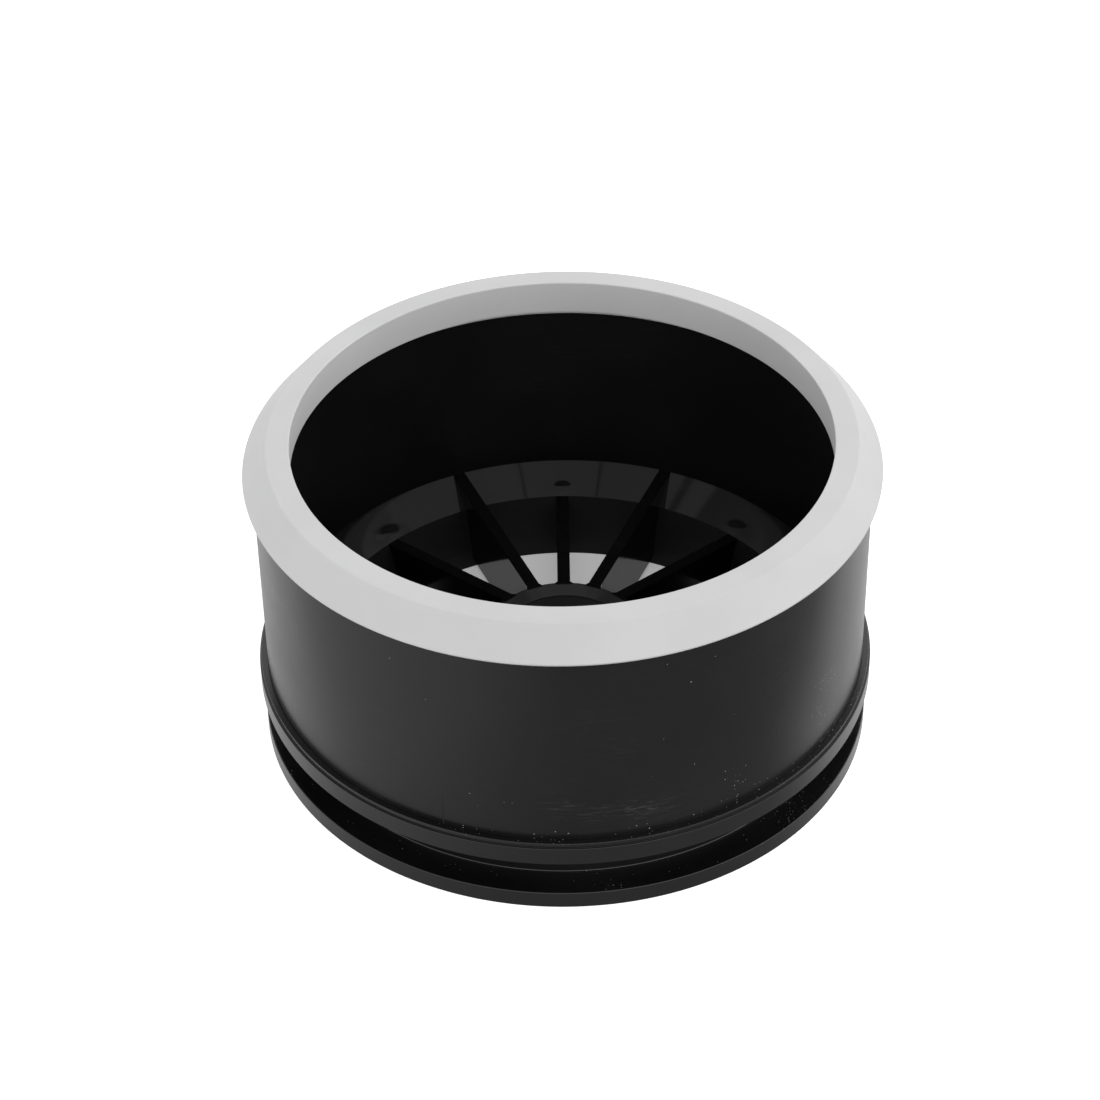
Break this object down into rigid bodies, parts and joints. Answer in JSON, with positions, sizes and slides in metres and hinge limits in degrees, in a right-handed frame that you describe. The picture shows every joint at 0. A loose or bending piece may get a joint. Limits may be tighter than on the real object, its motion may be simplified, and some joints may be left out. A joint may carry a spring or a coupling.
{
  "type": "sink disposer baffle",
  "caption": "Short black sleeve with a pale soft seal ring on its rim, a grooved mounting foot, and a floor of radial webs round an open hub that lets kitchen waste fall through.",
  "frame": {"origin": "middle of the flat underside, on the sleeve's axis", "axes": "+Z along the sleeve's axis, up towards the sink; +X along the first minor web"},
  "size_m": [0.084, 0.084, 0.0454],
  "materials": {
    "seal": "soft pale grey elastomer, matt",
    "sleeve": "black moulded plastic, satin outside",
    "base": "black moulding, half gloss",
    "grid": "black moulding, gloss from the mould"
  },
  "bodies": {
    "housing": {"foot_flange": "base", "groove_neck": "base", "ledge_collar": "base", "sleeve": "sleeve", "hub": "grid", "major_web_1": "grid", "major_web_2": "grid", "major_web_3": "grid", "major_web_4": "grid", "major_web_5": "grid", "major_web_6": "grid", "major_web_7": "grid", "major_web_8": "grid", "minor_web_1": "grid", "minor_web_2": "grid", "minor_web_3": "grid", "minor_web_4": "grid", "minor_web_5": "grid", "minor_web_6": "grid", "minor_web_7": "grid", "minor_web_8": "grid"},
    "seal": {"seal_ring": "seal"}
  },
  "joints": [
    {"name": "seal_ring_lift", "type": "slide", "parent": "housing", "child": "seal", "axis": [0, 0, 1], "range_m": [0, 0.012]}
  ]
}
